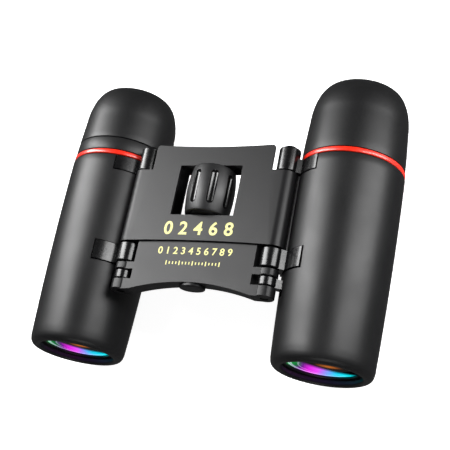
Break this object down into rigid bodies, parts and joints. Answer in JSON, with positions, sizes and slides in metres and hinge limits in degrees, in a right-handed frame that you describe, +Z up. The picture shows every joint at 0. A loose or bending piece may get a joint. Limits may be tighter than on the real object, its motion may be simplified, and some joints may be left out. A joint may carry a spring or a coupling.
{
  "type": "folding pocket binoculars",
  "caption": "Folding compact roof-prism binoculars with rubber-armoured barrels, a double-hinged bridge and a centre focus wheel.",
  "frame": {"origin": "on the surface the barrels rest on, midway between the hinge rods and midway along the barrels", "axes": "+X to the user's right, +Y the way the user looks through them, +Z up"},
  "size_m": [0.1062, 0.085, 0.0321],
  "materials": {
    "rubber_armour": "satin, fine grain",
    "bridge_paint": "satin",
    "wheel_rubber": "satin with gloss grooves",
    "gloss_black": "gloss",
    "red_trim": "semi-gloss",
    "black_metal": "black anodised",
    "steel": "satin",
    "coated_glass": "multicoated, violet to blue reflection",
    "clear_glass": "clear"
  },
  "bodies": {
    "bridge": {"bridge_top_cover": "bridge_paint", "bridge_bottom_cover": "bridge_paint", "left_hinge_rod": "steel", "right_hinge_rod": "steel", "cover_screw_1": "steel", "cover_screw_2": "steel", "cover_screw_3": "steel", "cover_screw_4": "steel"},
    "focus_wheel_body": {"focus_wheel": "wheel_rubber", "focus_spindle": "steel"},
    "focus_slider": {"focus_plate": "bridge_paint"},
    "left_barrel": {"left_barrel_tube": "gloss_black", "left_armour": "rubber_armour", "left_red_ring": "red_trim", "left_eyecup": "rubber_armour", "left_half_penta_prism": "clear_glass", "left_prism_cage": "black_metal", "left_roof_prism": "clear_glass", "left_eyepiece_cell": "black_metal", "left_field_lens": "clear_glass", "left_eye_lens": "clear_glass"},
    "left_objective": {"left_objective_cell": "black_metal", "left_objective_lens": "coated_glass", "left_objective_retainer": "black_metal", "left_focus_arm": "gloss_black"},
    "right_barrel": {"right_barrel_tube": "gloss_black", "right_armour": "rubber_armour", "right_red_ring": "red_trim", "right_diopter_collar": "rubber_armour", "right_half_penta_prism": "clear_glass", "right_prism_cage": "black_metal", "right_roof_prism": "clear_glass"},
    "right_eyecup_body": {"right_eyecup": "rubber_armour"},
    "right_eyepiece": {"right_eyepiece_cell": "black_metal", "right_field_lens": "clear_glass", "right_eye_lens": "clear_glass"},
    "right_objective": {"right_objective_cell": "black_metal", "right_objective_lens": "coated_glass", "right_objective_retainer": "black_metal", "right_focus_arm": "gloss_black"}
  },
  "joints": [
    {"name": "left_fold", "type": "hinge", "parent": "bridge", "child": "left_barrel", "pos_m": [-0.0222, 0, 0.02515], "axis": [0, -1, 0], "range_deg": [-32, 62]},
    {"name": "right_fold", "type": "hinge", "parent": "bridge", "child": "right_barrel", "pos_m": [0.0222, 0, 0.02515], "axis": [0, 1, 0], "range_deg": [-32, 62]},
    {"name": "focus_turn", "type": "hinge", "parent": "bridge", "child": "focus_wheel_body", "pos_m": [0, 0, 0.02515], "axis": [0, -1, 0], "range_deg": [0, 360]},
    {"name": "focus_slide", "type": "slide", "parent": "bridge", "child": "focus_slider", "axis": [0, 1, 0], "range_m": [0, 0.0016]},
    {"name": "left_objective_slide", "type": "slide", "parent": "left_barrel", "child": "left_objective", "axis": [0, 1, 0], "range_m": [0, 0.0016]},
    {"name": "right_objective_slide", "type": "slide", "parent": "right_barrel", "child": "right_objective", "axis": [0, 1, 0], "range_m": [0, 0.0016]},
    {"name": "diopter_turn", "type": "hinge", "parent": "right_barrel", "child": "right_eyecup_body", "pos_m": [0.03797, 0, 0.0151], "axis": [0, 1, 0], "range_deg": [-45, 45]},
    {"name": "diopter_slide", "type": "slide", "parent": "right_barrel", "child": "right_eyepiece", "axis": [0, 1, 0], "range_m": [-0.0007, 0.0007]}
  ],
  "couplings": [
    {"joint": "focus_turn", "follows": "focus_slide", "rad_per_m": 3926.6},
    {"joint": "left_objective_slide", "follows": "focus_slide", "ratio": 1},
    {"joint": "right_objective_slide", "follows": "focus_slide", "ratio": 1},
    {"joint": "diopter_slide", "follows": "diopter_turn", "m_per_rad": 0.00089118}
  ]
}
